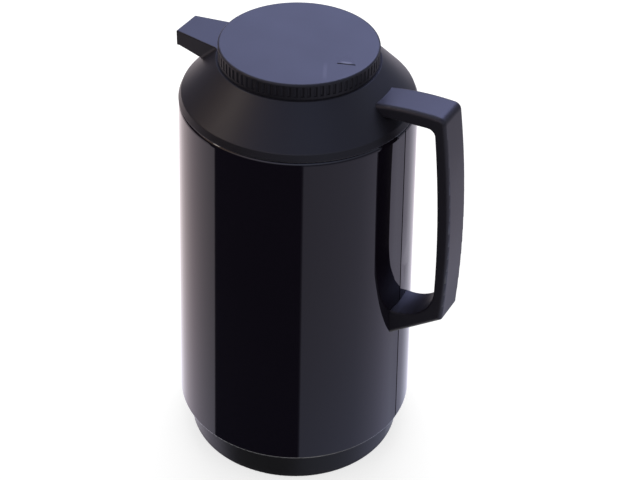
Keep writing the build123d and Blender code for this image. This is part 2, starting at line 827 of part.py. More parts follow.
with BuildPart() as lid_cap:
    cap = section(
        (0, lid_under_z),
        (boss_r - boss_wall, lid_under_z),
        (boss_r - boss_wall, lid_under_z - boss_depth),
        (boss_r, lid_under_z - boss_depth),
        (boss_r, lid_under_z + slip),
        (lid_r - lid_skirt, lid_under_z + slip),
        (lid_r - lid_skirt, lid_bottom_z),
        (lid_r, lid_bottom_z),
        (lid_r, lid_top_z),
        (0, lid_top_z),
    )
    revolve(cap, axis=Axis.Z)
    fillet(lid_cap.edges().filter_by(GeomType.CIRCLE).group_by(Axis.Z)[-1], lid_edge)
    # flutes round the rim, with a plain margin above and below
    with BuildSketch(Plane.XY.offset(lid_bottom_z + flute_margin_bottom)):
        with PolarLocations(lid_r - flute_depth + flute_r, flute_count):
            Circle(flute_r)
    extrude(amount=lid_height - flute_margin_bottom - flute_margin_top, mode=Mode.SUBTRACT)
    # raised pointer towards the handle
    with BuildSketch(Plane.XY.rotated((0, 0, pointer_azimuth)).offset(lid_top_z - slip)):
        with BuildLine():
            Polyline(
                (lid_r - pointer_inset, 0),
                (lid_r - pointer_inset - pointer_length, pointer_width / 2),
                (lid_r - pointer_inset - pointer_length, -pointer_width / 2),
                close=True,
            )
        make_face()
    extrude(amount=pointer_height + slip)
    fillet(lid_cap.edges().group_by(Axis.Z)[-1], pointer_edge_r)

lid_cap.part.label = "lid_cap"
export_step(lid_cap.part, "parts/lid_cap.step")
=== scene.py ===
import json
from math import cos, radians, sin, tau

import bpy
from bpy.props import FloatProperty, FloatVectorProperty, PointerProperty
from mathutils import Matrix, Vector

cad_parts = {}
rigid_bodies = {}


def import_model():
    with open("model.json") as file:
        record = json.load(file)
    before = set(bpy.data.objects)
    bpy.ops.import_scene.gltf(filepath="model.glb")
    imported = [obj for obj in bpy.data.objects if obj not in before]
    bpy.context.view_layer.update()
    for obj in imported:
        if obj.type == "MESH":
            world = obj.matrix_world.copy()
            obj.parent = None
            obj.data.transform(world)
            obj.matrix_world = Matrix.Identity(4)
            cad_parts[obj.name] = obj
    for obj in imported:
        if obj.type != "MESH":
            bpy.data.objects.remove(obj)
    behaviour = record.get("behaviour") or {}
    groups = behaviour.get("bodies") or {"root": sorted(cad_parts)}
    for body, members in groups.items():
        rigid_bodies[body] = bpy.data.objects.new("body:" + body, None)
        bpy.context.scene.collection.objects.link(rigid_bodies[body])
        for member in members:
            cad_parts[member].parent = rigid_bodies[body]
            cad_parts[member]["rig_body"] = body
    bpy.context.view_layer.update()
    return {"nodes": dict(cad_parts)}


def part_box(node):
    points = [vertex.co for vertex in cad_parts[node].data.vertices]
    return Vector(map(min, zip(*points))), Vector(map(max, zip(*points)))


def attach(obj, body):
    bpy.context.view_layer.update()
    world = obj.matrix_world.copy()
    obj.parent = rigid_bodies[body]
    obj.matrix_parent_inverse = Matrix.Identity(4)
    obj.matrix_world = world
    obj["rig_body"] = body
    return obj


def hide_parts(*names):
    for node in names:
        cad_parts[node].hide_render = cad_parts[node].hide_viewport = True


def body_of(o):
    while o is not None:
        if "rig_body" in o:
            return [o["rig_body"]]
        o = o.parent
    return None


bl_info = {
    "name": "Insulated Carafe",
    "version": (1, 0, 0),
    "blender": (4, 5, 0),
    "location": "View3D > Sidebar > Carafe",
    "description": "Finishes and fine details of an insulated serving carafe, round its CAD solids",
    "category": "Add Mesh",
}

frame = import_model()


# Where the finishes change, in metres: each pair is where a change starts and where it is complete.
lid_low, lid_high = (Vector(corner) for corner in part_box("lid_cap"))
handle_low, handle_high = (Vector(corner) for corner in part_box("handle"))
LEDGE_FACE = (lid_low.z - 0.0007, lid_low.z - 0.0004)  # height of the collar's ledge under the lid's rim
LEDGE_EDGE = (lid_high.x + 0.0009, lid_high.x + 0.0013)  # radius at which that ledge ends
LID_EDGE = (lid_high.z - 0.0010, lid_high.z - 0.0006)  # height at which the lid's top begins
GRIP_START = (handle_low.z + 0.0313, handle_low.z + 0.0613)  # lower end of the held part of the handle
GRIP_END = (handle_high.z - 0.0459, handle_high.z - 0.0209)  # upper end of the held part
STANDING_EDGE = (0.001, 0.005)  # height of the foot ring's lowest edge
# Strips on the lid's top: X and Y of each end. Along the pointer's edge is a painted highlight, and
# beside it a long light rub.
POINTER_HIGHLIGHT = ((0.0284, -0.0079), (0.0362, -0.0056))
LONG_RUB = ((0.0215, -0.0095), (0.0310, -0.0285))
STRIP_WIDTH = 0.0016


# ---- Node arithmetic -----------------------------------------------------------------------------


class Signal:
    """A node's socket that can be added, multiplied and mixed like a number."""

    def __init__(self, graph, socket):
        self.graph = graph
        self.socket = socket

    def _math(self, operation, *values):
        inputs = dict(enumerate(values))
        return self.graph.node("ShaderNodeMath", {"operation": operation}, inputs)

    def __add__(self, other):
        return self._math("ADD", self, other)

    def __radd__(self, other):
        return self._math("ADD", other, self)

    def __sub__(self, other):
        return self._math("SUBTRACT", self, other)

    def __rsub__(self, other):
        return self._math("SUBTRACT", other, self)

    def __mul__(self, other):
        return self._math("MULTIPLY", self, other)

    def __rmul__(self, other):
        return self._math("MULTIPLY", other, self)

    def __truediv__(self, other):
        return self._math("DIVIDE", self, other)

    def __pow__(self, other):
        return self._math("POWER", self, other)

    def __abs__(self):
        return self._math("ABSOLUTE", self)

    def clamped(self):
        """Held between 0 and 1."""
        return self._math("MINIMUM", self._math("MAXIMUM", self, 0.0), 1.0)

    def between(self, low, high):
        """0 below low, 1 above high, and a smooth rise from one to the other."""
        settings = {"interpolation_type": "SMOOTHSTEP"}
        inputs = {"Value": self, "From Min": low, "From Max": high}
        return self.graph.node("ShaderNodeMapRange", settings, inputs)

    def tint(self, first, second):
        """A colour that goes from first to second as this goes from 0 to 1."""
        inputs = {0: self, 6: first, 7: second}
        return self.graph.node("ShaderNodeMix", {"data_type": "RGBA"}, inputs, output=2)


class Graph:
    """Adds nodes to one tree."""

    def __init__(self, tree):
        self.tree = tree
        tree.nodes.clear()

    def node(self, kind, settings=None, inputs=None, output=0):
        """One node: its settings first, then each socket's value, link or list of links.

        A colour is a tuple of red, green and blue.
        """
        made = self.tree.nodes.new(kind)
        for name, value in (settings or {}).items():
            if name == "stops":
                self._set_stops(made.color_ramp, value)
            else:
                setattr(made, name, value)
        for key, value in (inputs or {}).items():
            if isinstance(value, list):
                for signal in value:
                    self.tree.links.new(signal.socket, made.inputs[key])
            elif isinstance(value, Signal):
                self.tree.links.new(value.socket, made.inputs[key])
            else:
                socket = made.inputs[key]
                socket.default_value = (*value, 1.0) if socket.type == "RGBA" else value
        return Signal(self, made.outputs[output])

    @staticmethod
    def _set_stops(ramp, stops):
        while len(ramp.elements) < len(stops):
            ramp.elements.new(1.0)
        for element, (place, colour) in zip(ramp.elements, stops):
            element.position = place
            element.color = (*colour, 1.0)

    def position(self):
        """Where the shaded point is on the piece, in metres."""
        return self.node("ShaderNodeTexCoord", output="Object")

    def axes(self, vector):
        """The three parts of a vector."""
        split = self.node("ShaderNodeSeparateXYZ", inputs={0: vector})
        return [Signal(self, socket) for socket in split.socket.node.outputs]

    def noise(self, place, size, detail=2.0, output="Fac"):
        """Cloudy noise whose blotches are about size metres across."""
        inputs = {"Vector": place, "Scale": 1.0 / size, "Detail": detail}
        return self.node("ShaderNodeTexNoise", None, inputs, output=output)

    def bump(self, height, depth, strength=1.0):
        """A normal that is raised by height times depth metres."""
        inputs = {"Height": height, "Distance": depth, "Strength": strength}
        return self.node("ShaderNodeBump", None, inputs)

    def close(self, kind, socket, result):
        """Wires the tree's result to its output node."""
        made = self.tree.nodes.new(kind)
        self.tree.links.new(result.socket, made.inputs[socket])


def new_finish(name):
    """An empty material and the graph of its nodes."""
    material = bpy.data.materials.new(name)
    material.use_nodes = True
    return material, Graph(material.node_tree)


def close_finish(graph, **sockets):
    """The one surface shader of a finish, wired to its output."""
    named = {key.replace("_", " "): value for key, value in sockets.items()}
    surface = graph.node("ShaderNodeBsdfPrincipled", None, named, output="BSDF")
    graph.close("ShaderNodeOutputMaterial", "Surface", surface)


def scaled(colour, share):
    """A colour with each of its parts multiplied by a share."""
    return tuple(share * part for part in colour)


def dress(material, *names):
    """Gives CAD nodes a finish."""
    for name in names:
        node = frame["nodes"][name]
        if not node.material_slots:
            node.data.materials.append(material)
        for slot in node.material_slots:
            slot.material = material


# ---- Finishes ------------------------------------------------------------------------------------


def gloss_enamel(look):
    """Stoved gloss enamel on sheet steel: deep, nearly flat, with a trace of orange peel and dust."""
    material, graph = new_finish("gloss_enamel")
    place = graph.position()
    cloud = graph.noise(place, 0.06, 3.0)
    dust = graph.noise(place, 0.0006, 1.0).between(0.70, 0.78)
    peel = graph.noise(place, 0.004, 1.0)
    close_finish(
        graph,
        Base_Color=cloud.tint(scaled(look.enamel_colour, 0.85), look.enamel_colour),
        Roughness=look.enamel_roughness + 0.012 * cloud + 0.03 * dust,
        Normal=graph.bump(peel, 0.00001, 0.25),
    )
    return material


def satin_plastic(look, name, gloss=None, scuffs_and_highlights=None, shine=0.5, colour_share=1.0):
    """Moulded black plastic with a fine spark-eroded grain.

    gloss gives how much smoother it is at a place; the scuff mask gives how much it is rubbed white
    there, and on the lid's pointer how much it is lightened as a painted highlight. The colour share
    scales the colour; on the foot ring it darkens it as painted shade.
    """
    material, graph = new_finish(name)
    place = graph.position()
    cloud = graph.noise(place, 0.03, 3.0)
    pores = graph.noise(place, 0.0005, 2.0)
    # The colour share scales the moulding's colour; on the foot ring it darkens it as painted shade.
    pale = scaled(look.plastic_colour, colour_share)
    colour = cloud.tint(scaled(pale, 0.85), pale)
    roughness = look.plastic_roughness - 0.04 + 0.08 * cloud
    if gloss:
        roughness = roughness - gloss(graph, place)
    if scuffs_and_highlights:
        # Lightens the colour towards the scuff colour: rubs and nicks, and on the lid's pointer a
        # painted highlight.
        colour = scuffs_and_highlights(graph, place).tint(colour, look.scuff_and_highlight_colour)
    close_finish(
        graph,
        Base_Color=colour,
        Roughness=roughness,
        Specular_IOR_Level=shine,
        Normal=graph.bump(pores, 0.00002, 0.35),
    )
    return material


def matt_ledge(graph, place):
    """The narrow ledge under the lid's rim is dull."""
    east, north, height = graph.axes(place)
    radius = (east * east + north * north) ** 0.5
    return -0.32 * height.between(*LEDGE_FACE) * (1.0 - radius.between(*LEDGE_EDGE))


def held_grip(graph, place):
    """The stretch of the handle that a hand closes round is polished."""
    height = graph.axes(place)[2]
    return 0.08 * height.between(*GRIP_START) * (1.0 - height.between(*GRIP_END))


def grip_nicks(graph, place):
    """Fine nicks all over the handle."""
    return 0.10 * graph.noise(place, 0.0015, 3.0).between(0.74, 0.82)


def straight_strip(graph, place, start, end):
    """1 along a straight strip on a level face, fading to 0 at its sides and ends."""
    east, north, _ = graph.axes(place)
    run = Vector(end) - Vector(start)
    way = run.normalized()
    along = (east - start[0]) * way.x + (north - start[1]) * way.y
    across = abs((north - start[1]) * way.x - (east - start[0]) * way.y)
    inside = 1.0 - across.between(0.2 * STRIP_WIDTH, STRIP_WIDTH)
    begun = along.between(0.0, 0.4 * run.length)
    ended = along.between(0.7 * run.length, run.length)
    return inside * begun * (1.0 - ended)


def matt_flutes(graph, place):
    """The lid's fluted side is duller than its top."""
    return -0.18 * (1.0 - graph.axes(place)[2].between(*LID_EDGE))


def lid_highlight_and_rub(graph, place):
    """A painted highlight along the lid's pointer, standing in for light on its raised edge, and one
    long light rub beside it.
    """
    top = graph.axes(place)[2].between(*LID_EDGE)
    # The pointer's strip lightens the lid's colour as a painted highlight; the long strip is a light
    # rub.
    return top * (0.75 * straight_strip(graph, place, *POINTER_HIGHLIGHT) + 0.22 * straight_strip(graph, place, *LONG_RUB))


def foot_polish(graph, place):
    """The foot ring's wall is glossier than the edge that it stands on."""
    return 0.07 * graph.axes(place)[2].between(*STANDING_EDGE)


def foot_chafe(graph, place):
    """Scuffs low on the ring that is set down on tables."""
    low = 1.0 - graph.axes(place)[2].between(*STANDING_EDGE)
    return 0.12 * low * graph.noise(place, 0.002, 4.0).between(0.52, 0.70)


def pale_polypropylene():
    """Off-white stopper mouldings with faint flow marks."""
    material, graph = new_finish("pale_polypropylene")
    place = graph.position()
    flow = graph.noise(place, 0.02, 4.0)
    close_finish(
        graph,
        Base_Color=flow.tint((0.50, 0.50, 0.47), (0.58, 0.58, 0.55)),
        Roughness=0.34 + 0.08 * flow,
        Normal=graph.bump(graph.noise(place, 0.001, 2.0), 0.00002, 0.3),
    )
    return material


def silicone_rubber():
    """Soft grey-white silicone with a dull, slightly dusty skin."""
    material, graph = new_finish("silicone_rubber")
    place = graph.position()
    bloom = graph.noise(place, 0.008, 4.0)
    close_finish(
        graph,
        Base_Color=bloom.tint((0.40, 0.40, 0.38), (0.50, 0.50, 0.48)),
        Roughness=0.52 + 0.12 * bloom,
        Normal=graph.bump(graph.noise(place, 0.0007, 2.0), 0.00003, 0.3),
    )
    return material


def rigid_foam():
    """Cut insulating foam with open cells."""
    material, graph = new_finish("rigid_foam")
    place = graph.position()
    inputs = {"Vector": place, "Scale": 900.0}
    cells = graph.node("ShaderNodeTexVoronoi", None, inputs, output="Distance")
    close_finish(
        graph,
        Base_Color=cells.tint((0.80, 0.78, 0.70), (0.60, 0.57, 0.48)),
        Roughness=0.9,
        Normal=graph.bump(cells, 0.0003, 0.8),
    )
    return material


def mineral_pad():
    """Pressed fibre pads between the flask's walls."""
    material, graph = new_finish("mineral_pad")
    place = graph.position()
    fibre = graph.noise(place, 0.0012, 6.0)
    close_finish(
        graph,
        Base_Color=fibre.tint((0.62, 0.60, 0.54), (0.46, 0.44, 0.38)),
        Roughness=0.95,
        Normal=graph.bump(fibre, 0.0002, 0.7),
    )
    return material


def silvered_glass():
    """Glass with a mirror coat on its vacuum side."""
    material, graph = new_finish("silvered_glass")
    place = graph.position()
    ripple = graph.noise(place, 0.015, 2.0)
    close_finish(
        graph,
        Base_Color=ripple.tint((0.80, 0.80, 0.81), (0.88, 0.88, 0.89)),
        Metallic=1.0,
        Roughness=0.05 + 0.04 * ripple,
        Coat_Weight=1.0,
        Normal=graph.bump(ripple, 0.0002, 0.3),
    )
    return material


def zinc_plate():
    """Bright zinc plating with drawn marks."""
    material, graph = new_finish("zinc_plate")
    place = graph.position()
    marks = graph.noise(place, 0.0008, 5.0)
    close_finish(
        graph,
        Base_Color=marks.tint((0.50, 0.51, 0.52), (0.66, 0.66, 0.65)),
        Metallic=1.0,
        Roughness=0.28 + 0.2 * marks,
        Normal=graph.bump(marks, 0.00003, 0.4),
    )
    return material


# ---- Sizes and colours that a user may change ----------------------------------------------------


class CarafeLook(bpy.types.PropertyGroup):
    """Colours and gloss of the carafe."""

    enamel_colour: FloatVectorProperty(
        name="Enamel", description="Colour of the jacket's enamel", subtype="COLOR",
        default=(0.0060, 0.0042, 0.0085), min=0.0, max=1.0,
    )
    enamel_roughness: FloatProperty(
        name="Enamel roughness", description="Roughness of the jacket's enamel",
        default=0.03, min=0.0, max=1.0, subtype="FACTOR",
    )
    plastic_colour: FloatVectorProperty(
        name="Plastic", description="Colour of the black mouldings", subtype="COLOR",
        default=(0.0085, 0.0075, 0.0110), min=0.0, max=1.0,
    )
    plastic_roughness: FloatProperty(
        name="Plastic roughness", description="Roughness of the black mouldings",
        default=0.40, min=0.0, max=1.0, subtype="FACTOR",
    )
    # Also the colour of the painted highlight along the lid's pointer.
    scuff_and_highlight_colour: FloatVectorProperty(
        name="Scuffs", description="Colour of black plastic that is rubbed white", subtype="COLOR",
        default=(0.12, 0.12, 0.16), min=0.0, max=1.0,
    )


class CarafeScrews(bpy.types.PropertyGroup):
    """The handle's two cross-recessed screws."""

    head_height: FloatProperty(
        name="Head height", description="Height of a screw's head", subtype="DISTANCE",
        default=0.0022, min=0.0005, max=0.01, precision=4,
    )
    thread_pitch: FloatProperty(
        name="Thread pitch", description="Distance from one ridge of the thread to the next",
        subtype="DISTANCE", default=0.0013, min=0.0003, max=0.005, precision=4,
    )
    thread_depth: FloatProperty(
        name="Thread depth", description="How far the thread's ridge stands out of its core",
        subtype="DISTANCE", default=0.00045, min=0.0001, max=0.002, precision=5,
    )
    recess_width: FloatProperty(
        name="Recess width", description="Width of each arm of the cross recess",
        subtype="DISTANCE", default=0.0009, min=0.0002, max=0.005, precision=4,
    )
    recess_depth: FloatProperty(
        name="Recess depth", description="Depth of the cross recess",
        subtype="DISTANCE", default=0.0012, min=0.0002, max=0.005, precision=4,
    )


class CarafeStage(bpy.types.PropertyGroup):
    """Camera and light."""

    lens: FloatProperty(
        name="Lens", description="Focal length on a 36 mm wide sensor, in millimetres",
        unit="CAMERA", default=88.17, min=10.0, max=500.0,
    )
    overhead: FloatProperty(
        name="Overhead lamp", description="Power of the wide lamp over the carafe, in watts",
        unit="POWER", default=9.0, min=0.0, max=200.0,
    )
    ambient: FloatProperty(
        name="Ambient", description="Strength of the even light from all round",
        default=0.55, min=0.0, max=5.0,
    )
    floor_size: FloatProperty(
        name="Floor", description="Side of the square floor", subtype="DISTANCE",
        default=6.0, min=1.0, max=50.0,
    )


# ---- Screws --------------------------------------------------------------------------------------

SHANK_SHARE = 0.528  # shank's radius as a share of the head's
FACE_SHARE = 0.72  # radius of the head's outer face as a share of the head's
TIP_SHARE = 0.55  # radius of the shank's end as a share of its core's
ARM_SHARE = 1.3  # length of a recess arm as a share of the head's radius
ROUND_SIDES = 48
THREAD_STEPS = 32  # points in one turn of the thread
SHARP_EDGE = radians(35.0)
SCREW_INPUTS = {
    "Head radius": "NodeSocketFloat",
    "Head height": "NodeSocketFloat",
    "Shank radius": "NodeSocketFloat",
    "Shank length": "NodeSocketFloat",
    "Thread pitch": "NodeSocketFloat",
    "Thread depth": "NodeSocketFloat",
    "Recess width": "NodeSocketFloat",
    "Recess depth": "NodeSocketFloat",
    "Place": "NodeSocketVector",
    "Turn": "NodeSocketVector",
}


def screw_tree(material):
    """A screw along +Z, with its head below the origin and its threaded shank above."""
    tree = bpy.data.node_groups.new("cross_screw", "GeometryNodeTree")
    graph = Graph(tree)
    for name, kind in SCREW_INPUTS.items():
        tree.interface.new_socket(name=name, in_out="INPUT", socket_type=kind)
    tree.interface.new_socket(name="Geometry", in_out="OUTPUT", socket_type="NodeSocketGeometry")
    entry = graph.node("NodeGroupInput").socket.node
    size = {socket.name: Signal(graph, socket) for socket in entry.outputs}
    core = size["Shank radius"] - size["Thread depth"]
    pitch = size["Thread pitch"]
    straight = size["Shank length"] - pitch
    face = FACE_SHARE * size["Head radius"]
    below = -1.0 * size["Head height"]
    head = lifted(graph, tapered(graph, face, size["Head radius"], size["Head height"]), below)
    arm = ARM_SHARE * size["Head radius"]
    tall = 2.0 * size["Recess depth"]
    arms = []
    for wide, deep in ((arm, size["Recess width"]), (size["Recess width"], arm)):
        block = graph.node("ShaderNodeCombineXYZ", None, {"X": wide, "Y": deep, "Z": tall})
        bar = graph.node("GeometryNodeMeshCube", None, {"Size": block})
        arms.append(lifted(graph, bar, below))
    settings = {"operation": "DIFFERENCE", "solver": "EXACT"}
    head = graph.node("GeometryNodeMeshBoolean", settings, {"Mesh 1": head, "Mesh 2": arms})
    shank = tapered(graph, core, core, straight)
    tip = lifted(graph, tapered(graph, core, TIP_SHARE * core, pitch), straight)
    spiral = {
        "Resolution": THREAD_STEPS,
        "Rotations": straight / pitch - 0.5,
        "Start Radius": core,
        "End Radius": core,
        "Height": straight - 0.5 * pitch,
    }
    path = graph.node("GeometryNodeCurveSpiral", None, spiral)
    path = graph.node("GeometryNodeSetCurveNormal", {"mode": "Z_UP"}, {"Curve": path})
    outline = {"Resolution": 4, "Radius": size["Thread depth"]}
    ridge = graph.node("GeometryNodeCurvePrimitiveCircle", None, outline)
    swept = {"Curve": path, "Profile Curve": ridge, "Fill Caps": True}
    thread = lifted(graph, graph.node("GeometryNodeCurveToMesh", None, swept), 0.5 * pitch)
    screw = graph.node("GeometryNodeJoinGeometry", None, {"Geometry": [head, shank, tip, thread]})
    placed = {"Geometry": screw, "Translation": size["Place"], "Rotation": size["Turn"]}
    screw = graph.node("GeometryNodeTransform", None, placed)
    screw = graph.node("GeometryNodeRealizeInstances", None, {"Geometry": screw})
    screw = graph.node("GeometryNodeSetMaterial", None, {"Geometry": screw, "Material": material})
    graph.close("NodeGroupOutput", "Geometry", screw)
    return tree


def tapered(graph, low_radius, high_radius, height):
    """A closed round piece that stands on the origin."""
    inputs = {
        "Vertices": ROUND_SIDES,
        "Radius Bottom": low_radius,
        "Radius Top": high_radius,
        "Depth": height,
    }
    return graph.node("GeometryNodeMeshCone", None, inputs)


def lifted(graph, geometry, height):
    """A geometry moved along +Z."""
    step = graph.node("ShaderNodeCombineXYZ", None, {"Z": height})
    return graph.node("GeometryNodeTransform", None, {"Geometry": geometry, "Translation": step})


def add_screw(name, node, tree, sizes, axis):
    """Makes a screw where a CAD screw lies, with its head at the low end of an axis."""
    low, high = (Vector(corner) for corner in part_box(node))
    along = (high - low).dot(axis)
    across = (high - low - along * axis).length / 2 ** 0.5
    values = {
        "Head radius": across / 2,
        "Head height": sizes.head_height,
        "Shank radius": SHANK_SHARE * across / 2,
        "Shank length": along - sizes.head_height,
        "Thread pitch": sizes.thread_pitch,
        "Thread depth": sizes.thread_depth,
        "Recess width": sizes.recess_width,
        "Recess depth": sizes.recess_depth,
        "Place": (low + high) / 2 - (along / 2 - sizes.head_height) * axis,
        "Turn": axis.to_track_quat("Z", "Y").to_euler(),
    }
    piece = bpy.data.objects.new(name, bpy.data.meshes.new(name))
    bpy.context.scene.collection.objects.link(piece)
    modifier = piece.modifiers.new("screw", "NODES")
    modifier.node_group = tree
    for item in tree.interface.items_tree:
        if item.in_out == "INPUT":
            value = values[item.name]
            modifier[item.identifier] = value if isinstance(value, float) else list(value)
    ready = piece.evaluated_get(bpy.context.evaluated_depsgraph_get())
    mesh = bpy.data.meshes.new_from_object(ready)
    piece.modifiers.remove(modifier)
    mesh.shade_smooth()
    mesh.set_sharp_from_angle(angle=SHARP_EDGE)
    piece.data = mesh
    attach(piece, body_of(frame["nodes"][node])[0])
    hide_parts(node)


# ---- Operators -----------------------------------------------------------------------------------


class CARAFE_OT_jacket(bpy.types.Operator):
    """Finish the sheet-metal jacket"""

    bl_idname = "carafe.jacket"
    bl_label = "Jacket"

    def execute(self, context):
        dress(gloss_enamel(context.scene.carafe_look), "jacket")
        return {"FINISHED"}


class CARAFE_OT_mouldings(bpy.types.Operator):
    """Finish the collar, the handle, the foot ring, the base cap and the lid"""

    bl_idname = "carafe.mouldings"
    bl_label = "Black mouldings"

    def execute(self, context):
        look = context.scene.carafe_look
        dress(satin_plastic(look, "satin_collar", gloss=matt_ledge, shine=0.45), "collar")
        # The foot ring's colour at a quarter and its weak shine are painted shade, for the shadowed
        # floor right beside it.
        foot = satin_plastic(look, "satin_foot_painted_shade", foot_polish, foot_chafe, 0.20, 0.25)
        dress(foot, "foot_ring", "base_cap")
        dress(satin_plastic(look, "satin_handle", held_grip, grip_nicks, 0.42, 2.0), "handle")
        # The lid's finish holds a painted highlight along its pointer.
        dress(satin_plastic(look, "satin_lid_painted_highlight", matt_flutes, lid_highlight_and_rub), "lid_cap")
        return {"FINISHED"}


class CARAFE_OT_stopper(bpy.types.Operator):
    """Finish the stopper under the lid, and the seals and pads"""

    bl_idname = "carafe.stopper"
    bl_label = "Stopper and seals"

    def execute(self, context):
        dress(pale_polypropylene(), "stopper_body", "stopper_plug")
        rubber_nodes = ("stopper_o_ring", "stopper_seal", "neck_gasket", "base_cap_gasket")
        dress(silicone_rubber(), *rubber_nodes, "flask_cushion", "flask_tip_guard")
        dress(rigid_foam(), "stopper_foam")
        return {"FINISHED"}


class CARAFE_OT_flask(bpy.types.Operator):
    """Finish the glass flask and the pads between its walls"""

    bl_idname = "carafe.flask"
    bl_label = "Flask"

    def execute(self, context):
        dress(silvered_glass(), "flask_inner", "flask_outer")
        dress(mineral_pad(), "flask_spacers")
        return {"FINISHED"}


class CARAFE_OT_fasteners(bpy.types.Operator):
    """Finish the handle's plate, and make its two screws"""

    bl_idname = "carafe.fasteners"
    bl_label = "Fasteners"

    def execute(self, context):
        plating = zinc_plate()
        dress(plating, "handle_plate")
        tree = screw_tree(plating)
        sizes = context.scene.carafe_screws
        add_screw("upper_cross_screw", "handle_upper_screw", tree, sizes, Vector((0.0, 0.0, 1.0)))
        add_screw("lower_cross_screw", "handle_lower_screw", tree, sizes, Vector((1.0, 0.0, 0.0)))
        return {"FINISHED"}


class CARAFE_OT_stage(bpy.types.Operator):
    """Add the camera, the floor, the lamp and the surroundings"""

    bl_idname = "carafe.stage"
    bl_label = "Stage"

    def execute(self, context):
        stage = context.scene.carafe_stage
        add_camera(context.scene, stage.lens)
        add_floor(stage.floor_size)
        add_lamp(stage.overhead)
        add_surroundings(context.scene, stage.ambient)
        context.scene.view_settings.view_transform = "Standard"
        return {"FINISHED"}


# ---- Stage ---------------------------------------------------------------------------------------

CAMERA_PLACE = Vector((0.356698, -0.647550, 0.706080))
CAMERA_RIGHT = Vector((0.877246, 0.479607, 0.020434))
CAMERA_UP = Vector((-0.307763, 0.529240, 0.790688))
BLACK = (0.0, 0.0, 0.0)
WHITE = (1.0, 1.0, 1.0)
SENSOR_WIDTH = 36.0
LAMP_PLACE = Vector((-0.45, 0.85, 1.25))
LAMP_AIM = Vector((0.0, 0.0, 0.2))
LAMP_SIZE = 1.3
FLOOR_PAINT = (0.60, 0.60, 0.60)
FLOOR_GLOW = (0.66, 0.66, 0.66)


def add_camera(scene, lens):
    """The camera looks down on the carafe from in front and from the handle's side."""
    camera = bpy.data.objects.new("camera", bpy.data.cameras.new("camera"))
    camera.data.lens = lens
    camera.data.sensor_width = SENSOR_WIDTH
    camera.data.sensor_fit = "HORIZONTAL"
    camera.data.clip_start = 0.01
    turn = Matrix((CAMERA_RIGHT, CAMERA_UP, CAMERA_RIGHT.cross(CAMERA_UP))).transposed()
    camera.matrix_world = Matrix.Translation(CAMERA_PLACE) @ turn.to_4x4()
    scene.collection.objects.link(camera)
    scene.camera = camera


def add_floor(size):
    """A pale floor that keeps the carafe's shadow and isn't mirrored in it."""
    mesh = bpy.data.meshes.new("floor")
    half = size / 2
    corners = [(-half, -half, 0.0), (half, -half, 0.0), (half, half, 0.0), (-half, half, 0.0)]
    mesh.from_pydata(corners, [], [(0, 1, 2, 3)])
    floor = bpy.data.objects.new("floor", mesh)
    bpy.context.scene.collection.objects.link(floor)
    material, graph = new_finish("pale_floor")
    seen = graph.node("ShaderNodeLightPath", output="Is Camera Ray")
    paint = graph.node("ShaderNodeBsdfDiffuse", None, {"Color": FLOOR_PAINT})
    glow = graph.node("ShaderNodeEmission", None, {"Color": seen.tint(BLACK, FLOOR_GLOW)})
    both = graph.node("ShaderNodeAddShader", None, {0: paint, 1: glow})
    graph.close("ShaderNodeOutputMaterial", "Surface", both)
    mesh.materials.append(material)
    floor.visible_glossy = False


def add_lamp(power):
    """One wide soft lamp, high behind the carafe."""
    lamp = bpy.data.objects.new("overhead_lamp", bpy.data.lights.new("overhead_lamp", "AREA"))
    lamp.data.shape = "SQUARE"
    lamp.data.size = LAMP_SIZE
    lamp.data.energy = power
    aim = (LAMP_PLACE - LAMP_AIM).to_track_quat("Z", "Y").to_matrix()
    lamp.matrix_world = Matrix.Translation(LAMP_PLACE) @ aim.to_4x4()
    lamp.visible_glossy = False
    bpy.context.scene.collection.objects.link(lamp)


# Colours of light in the studio, each used at the levels below, and of its dark flag.
LAMPLIGHT = (1.00, 0.72, 0.55)
ROSE_WHITE = (1.00, 0.85, 0.95)
LAVENDER = (0.85, 0.80, 1.00)
CLOUD = (0.70, 0.75, 1.00)
WINDOW = (0.50, 0.55, 1.00)
FLAG = (0.03, 0.03, 0.04)


def lit(level, colour):
    """A colour of light at a level."""
    return tuple(level * part for part in colour)


# What the gloss mirrors: colours by azimuth, from 0 at -180 degrees to 1 at 180, low down, level and
# high up.
LOW_RING = [
    (0.000, (1.00, 0.84, 0.91)),
    (0.090, (0.76, 0.68, 0.76)),
    (0.094, FLAG),
    (0.343, FLAG),
    (0.347, (0.44, 0.43, 0.54)),
    (0.500, (0.52, 0.51, 0.66)),
    (0.610, (0.72, 0.68, 0.87)),
    (0.640, (0.70, 0.67, 0.84)),
    (0.680, (0.46, 0.43, 0.55)),
    (0.740, (0.88, 0.84, 0.97)),
    (0.900, (1.36, 1.20, 1.24)),
    (0.950, (1.18, 1.00, 1.04)),
    (1.000, (1.00, 0.84, 0.91)),
]
LEVEL_RING = [
    (0.000, FLAG),
    (0.340, FLAG),
    (0.344, lit(0.25, CLOUD)),
    (0.750, lit(0.35, CLOUD)),
    (0.920, lit(0.25, LAVENDER)),
    (1.000, FLAG),
]
HIGH_RING = [
    (0.000, lit(0.55, LAMPLIGHT)),
    (0.170, lit(1.0, ROSE_WHITE)),
    (0.250, lit(1.2, LAVENDER)),
    (0.340, lit(1.2, CLOUD)),
    (0.500, lit(0.65, CLOUD)),
    (0.610, lit(0.7, CLOUD)),
    (0.720, lit(1.2, WINDOW)),
    (0.860, lit(2.8, WINDOW)),
    (1.000, lit(0.55, LAMPLIGHT)),
]
ZENITH = lit(0.45, WINDOW)
# What lies steeply below is tinted by this, and straight down is even.
UNDERFOOT = (0.96, 1.07, 1.21)
NADIR = (0.78, 0.77, 0.81)
